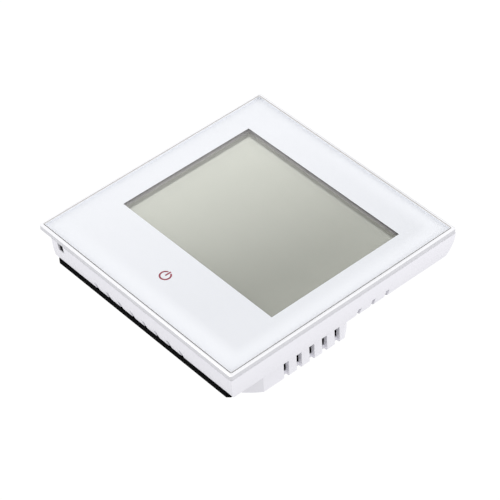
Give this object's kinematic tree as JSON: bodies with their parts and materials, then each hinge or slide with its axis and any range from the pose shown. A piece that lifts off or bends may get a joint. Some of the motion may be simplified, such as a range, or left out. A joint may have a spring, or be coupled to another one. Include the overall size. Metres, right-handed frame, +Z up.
{
  "type": "wall thermostat",
  "caption": "Flush wall thermostat: glass front with a display window and touch key on a pull-off panel, moulded housing, wall plate, and a vented power box with rising clamp terminals.",
  "frame": {"origin": "middle of the wall screw pattern, on the wall plane", "axes": "+X to the right seen from the room, +Y into the wall, +Z up the wall; the glass faces -Y"},
  "size_m": [0.09, 0.043, 0.09],
  "materials": {
    "white_plastic": "fine satin moulding",
    "silver_trim": "bright plated trim",
    "cover_glass": "polished, ground edges",
    "white_print": "screen print behind glass",
    "display": "grey green liquid crystal display",
    "black_plastic": "fine matt moulding",
    "circuit_board": "solder resist",
    "plated_steel": "zinc plated",
    "brass": "stamped, tinned tails",
    "terminal_plastic": "moulded",
    "relay_case": "moulded case",
    "ferrite": "sintered",
    "winding_tape": "polyester tape",
    "capacitor_sleeve": "shrink sleeve",
    "film_capacitor_case": "moulded case",
    "varistor_coat": "dipped",
    "fuse_body": "ceramic",
    "contact_rubber": "layered silicone",
    "light_guide": "clear acrylic",
    "reflector": "white film",
    "led_case": "moulded",
    "sensor_coat": "dipped",
    "insulating_sheet": "black polypropylene sheet"
  },
  "bodies": {
    "base": {"wall_plate": "black_plastic", "insulating_sheet": "insulating_sheet", "housing": "white_plastic", "power_box": "white_plastic", "plate_screws": "plated_steel", "box_screws": "plated_steel", "power_screws": "plated_steel", "power_board": "circuit_board", "relay": "relay_case", "transformer_core": "ferrite", "transformer_coil": "winding_tape", "smoothing_capacitor": "capacitor_sleeve", "film_capacitor": "film_capacitor_case", "varistor": "varistor_coat", "fuse": "fuse_body", "header_base": "black_plastic", "header_pins": "brass", "terminal_block": "terminal_plastic", "terminal_bars": "brass"},
    "panel": {"front_frame": "silver_trim", "front_glass": "cover_glass", "glass_mask": "white_print", "panel_carrier": "white_plastic", "snap_hooks": "white_plastic", "lcd_panel": "display", "zebra_strip": "contact_rubber", "backlight": "light_guide", "reflector_film": "reflector", "backlight_leds": "led_case", "display_board": "circuit_board", "display_screws": "plated_steel", "touch_pad": "contact_rubber", "controller_chip": "black_plastic", "room_sensor": "sensor_coat", "header_socket": "black_plastic"},
    "terminal_screw_1": {"terminal_screw_1": "plated_steel"},
    "wire_clamp_1": {"wire_clamp_1": "plated_steel"},
    "terminal_screw_2": {"terminal_screw_2": "plated_steel"},
    "wire_clamp_2": {"wire_clamp_2": "plated_steel"},
    "terminal_screw_3": {"terminal_screw_3": "plated_steel"},
    "wire_clamp_3": {"wire_clamp_3": "plated_steel"},
    "terminal_screw_4": {"terminal_screw_4": "plated_steel"},
    "wire_clamp_4": {"wire_clamp_4": "plated_steel"},
    "terminal_screw_5": {"terminal_screw_5": "plated_steel"},
    "wire_clamp_5": {"wire_clamp_5": "plated_steel"},
    "terminal_screw_6": {"terminal_screw_6": "plated_steel"},
    "wire_clamp_6": {"wire_clamp_6": "plated_steel"}
  },
  "joints": [
    {"name": "panel_pull_off", "type": "slide", "parent": "base", "child": "panel", "axis": [0, -1, 0], "range_m": [0, 0.025], "deforming": ["snap_hooks"]},
    {"name": "terminal_screw_1_turn", "type": "hinge", "parent": "base", "child": "terminal_screw_1", "pos_m": [-0.016, 0.0262, -0.01665], "axis": [0, -1, 0], "range_deg": [0, 1440]},
    {"name": "wire_clamp_1_rise", "type": "slide", "parent": "base", "child": "wire_clamp_1", "axis": [0, 1, 0], "range_m": [0, 0.002]},
    {"name": "terminal_screw_2_turn", "type": "hinge", "parent": "base", "child": "terminal_screw_2", "pos_m": [-0.0096, 0.0262, -0.01665], "axis": [0, -1, 0], "range_deg": [0, 1440]},
    {"name": "wire_clamp_2_rise", "type": "slide", "parent": "base", "child": "wire_clamp_2", "axis": [0, 1, 0], "range_m": [0, 0.002]},
    {"name": "terminal_screw_3_turn", "type": "hinge", "parent": "base", "child": "terminal_screw_3", "pos_m": [-0.0032, 0.0262, -0.01665], "axis": [0, -1, 0], "range_deg": [0, 1440]},
    {"name": "wire_clamp_3_rise", "type": "slide", "parent": "base", "child": "wire_clamp_3", "axis": [0, 1, 0], "range_m": [0, 0.002]},
    {"name": "terminal_screw_4_turn", "type": "hinge", "parent": "base", "child": "terminal_screw_4", "pos_m": [0.0032, 0.0262, -0.01665], "axis": [0, -1, 0], "range_deg": [0, 1440]},
    {"name": "wire_clamp_4_rise", "type": "slide", "parent": "base", "child": "wire_clamp_4", "axis": [0, 1, 0], "range_m": [0, 0.002]},
    {"name": "terminal_screw_5_turn", "type": "hinge", "parent": "base", "child": "terminal_screw_5", "pos_m": [0.0096, 0.0262, -0.01665], "axis": [0, -1, 0], "range_deg": [0, 1440]},
    {"name": "wire_clamp_5_rise", "type": "slide", "parent": "base", "child": "wire_clamp_5", "axis": [0, 1, 0], "range_m": [0, 0.002]},
    {"name": "terminal_screw_6_turn", "type": "hinge", "parent": "base", "child": "terminal_screw_6", "pos_m": [0.016, 0.0262, -0.01665], "axis": [0, -1, 0], "range_deg": [0, 1440]},
    {"name": "wire_clamp_6_rise", "type": "slide", "parent": "base", "child": "wire_clamp_6", "axis": [0, 1, 0], "range_m": [0, 0.002]}
  ],
  "couplings": [
    {"joint": "terminal_screw_1_turn", "follows": "wire_clamp_1_rise", "rad_per_m": 12566},
    {"joint": "terminal_screw_2_turn", "follows": "wire_clamp_2_rise", "rad_per_m": 12566},
    {"joint": "terminal_screw_3_turn", "follows": "wire_clamp_3_rise", "rad_per_m": 12566},
    {"joint": "terminal_screw_4_turn", "follows": "wire_clamp_4_rise", "rad_per_m": 12566},
    {"joint": "terminal_screw_5_turn", "follows": "wire_clamp_5_rise", "rad_per_m": 12566},
    {"joint": "terminal_screw_6_turn", "follows": "wire_clamp_6_rise", "rad_per_m": 12566}
  ]
}
